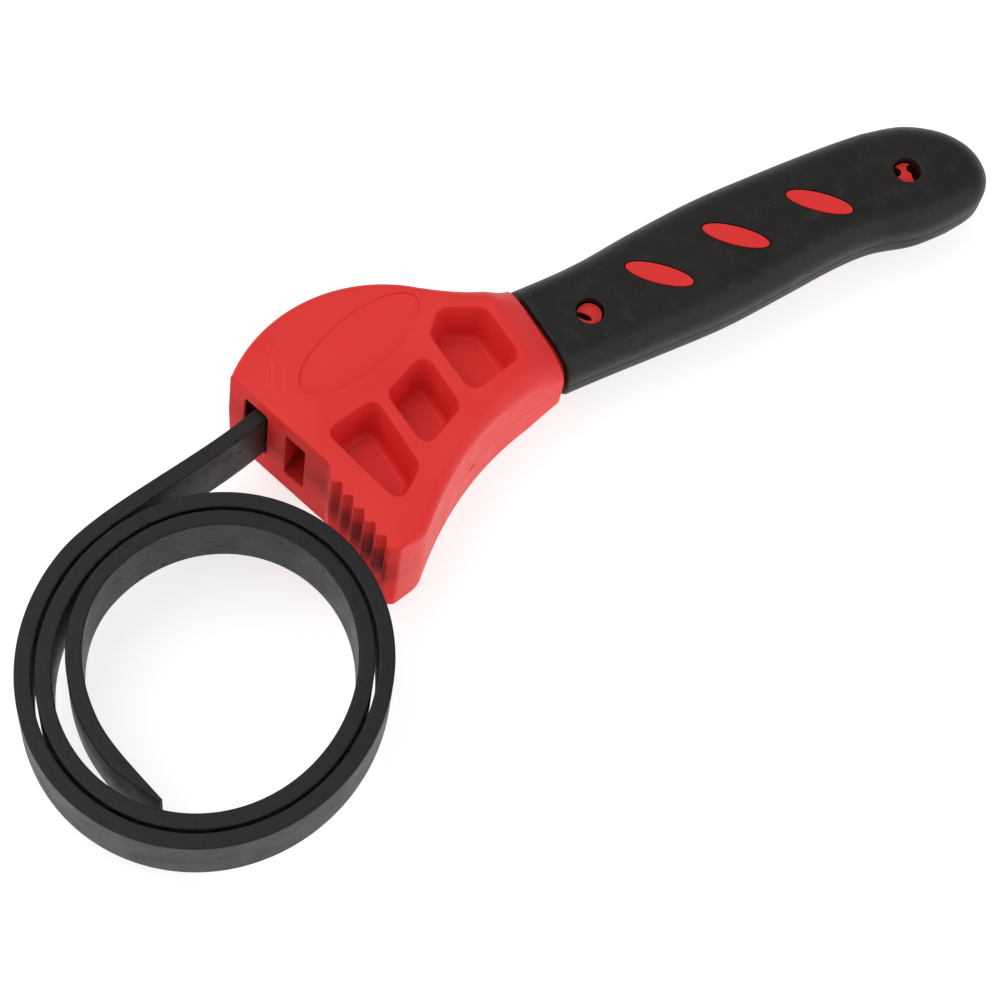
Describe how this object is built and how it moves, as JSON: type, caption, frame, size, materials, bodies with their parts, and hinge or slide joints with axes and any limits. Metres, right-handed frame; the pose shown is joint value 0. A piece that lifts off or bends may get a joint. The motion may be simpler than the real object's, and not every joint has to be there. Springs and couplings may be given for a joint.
{
  "type": "oil filter strap wrench",
  "caption": "Strap wrench: plastic head with a toothed jaw, rubber-sleeved handle, and a coiled rubber strap anchored in the head that uncoils to wrap a filter or a jar lid.",
  "frame": {"origin": "on the flat underside of the head, below the centre of its oval panel", "axes": "+X along the handle away from the head, +Z out of the head's top face, -Z out of the flat underside"},
  "size_m": [0.342, 0.1375, 0.04],
  "materials": {
    "red_plastic": "satin moulded plastic",
    "grip_rubber": "soft satin rubber",
    "strap_rubber": "extruded rubber, faint lengthwise lines",
    "steel": "zinc plated"
  },
  "bodies": {
    "wrench": {"upper_shell": "red_plastic", "lower_shell": "red_plastic", "grip_sleeve": "grip_rubber", "strap_anchor_pin": "steel", "shell_screw_1": "steel", "shell_screw_2": "steel", "shell_screw_3": "steel", "shell_screw_4": "steel"},
    "strap_root": {"strap_root": "strap_rubber"},
    "link_01": {"strap_link_01": "strap_rubber"},
    "link_02": {"strap_link_02": "strap_rubber"},
    "link_03": {"strap_link_03": "strap_rubber"},
    "link_04": {"strap_link_04": "strap_rubber"},
    "link_05": {"strap_link_05": "strap_rubber"},
    "link_06": {"strap_link_06": "strap_rubber"},
    "link_07": {"strap_link_07": "strap_rubber"},
    "link_08": {"strap_link_08": "strap_rubber"},
    "coil": {"strap_coil": "strap_rubber"},
    "tail_1": {"strap_tail_1": "strap_rubber"},
    "tail_2": {"strap_tail_2": "strap_rubber"},
    "tail_3": {"strap_tail_3": "strap_rubber"}
  },
  "joints": [
    {"name": "strap_swing", "type": "hinge", "parent": "wrench", "child": "strap_root", "pos_m": [-0.01996, -0.00019, 0.023], "axis": [0, 0, -1], "range_deg": [0, 8]},
    {"name": "strap_uncoil_01", "type": "hinge", "parent": "strap_root", "child": "link_01", "pos_m": [-0.03991, -0.00673, 0.023], "axis": [0, 0, -1], "range_deg": [0, 20.01]},
    {"name": "strap_uncoil_02", "type": "hinge", "parent": "link_01", "child": "link_02", "pos_m": [-0.08442, -0.01511, 0.023], "axis": [0, 0, -1], "range_deg": [0, 16.74]},
    {"name": "strap_uncoil_03", "type": "hinge", "parent": "link_02", "child": "link_03", "pos_m": [-0.122, -0.0382, 0.023], "axis": [0, 0, -1], "range_deg": [0, 38.15]},
    {"name": "strap_uncoil_04", "type": "hinge", "parent": "link_03", "child": "link_04", "pos_m": [-0.13019, -0.08124, 0.023], "axis": [0, 0, -1], "range_deg": [0, 43.26]},
    {"name": "strap_uncoil_05", "type": "hinge", "parent": "link_04", "child": "link_05", "pos_m": [-0.10033, -0.11293, 0.023], "axis": [0, 0, -1], "range_deg": [0, 42.67]},
    {"name": "strap_uncoil_06", "type": "hinge", "parent": "link_05", "child": "link_06", "pos_m": [-0.05674, -0.10787, 0.023], "axis": [0, 0, -1], "range_deg": [0, 38.71]},
    {"name": "strap_uncoil_07", "type": "hinge", "parent": "link_06", "child": "link_07", "pos_m": [-0.03155, -0.07189, 0.023], "axis": [0, 0, -1], "range_deg": [0, 43.25]},
    {"name": "strap_uncoil", "type": "hinge", "parent": "link_07", "child": "link_08", "pos_m": [-0.04571, -0.0309, 0.023], "axis": [0, 0, -1], "range_deg": [0, 46.5]},
    {"name": "strap_uncoil_09", "type": "hinge", "parent": "link_08", "child": "coil", "pos_m": [-0.08814, -0.02126, 0.023], "axis": [0, 0, -1], "range_deg": [0, 23.27]},
    {"name": "tail_flex", "type": "hinge", "parent": "coil", "child": "tail_1", "pos_m": [-0.10706, -0.03925, 0.023], "axis": [0, 0, 1], "range_deg": [0, 15]},
    {"name": "tail_flex_2", "type": "hinge", "parent": "tail_1", "child": "tail_2", "pos_m": [-0.11553, -0.05717, 0.023], "axis": [0, 0, 1], "range_deg": [0, 15.01]},
    {"name": "tail_flex_3", "type": "hinge", "parent": "tail_2", "child": "tail_3", "pos_m": [-0.11594, -0.07703, 0.023], "axis": [0, 0, 1], "range_deg": [0, 15.01]}
  ],
  "couplings": [
    {"joint": "strap_uncoil_01", "follows": "strap_uncoil", "ratio": 0.4301},
    {"joint": "strap_uncoil_02", "follows": "strap_uncoil", "ratio": 0.3597},
    {"joint": "strap_uncoil_03", "follows": "strap_uncoil", "ratio": 0.8201},
    {"joint": "strap_uncoil_04", "follows": "strap_uncoil", "ratio": 0.9302},
    {"joint": "strap_uncoil_05", "follows": "strap_uncoil", "ratio": 0.9174},
    {"joint": "strap_uncoil_06", "follows": "strap_uncoil", "ratio": 0.8323},
    {"joint": "strap_uncoil_07", "follows": "strap_uncoil", "ratio": 0.9299},
    {"joint": "strap_uncoil_09", "follows": "strap_uncoil", "ratio": 0.5003},
    {"joint": "tail_flex_2", "follows": "tail_flex", "ratio": 1},
    {"joint": "tail_flex_3", "follows": "tail_flex", "ratio": 1}
  ]
}
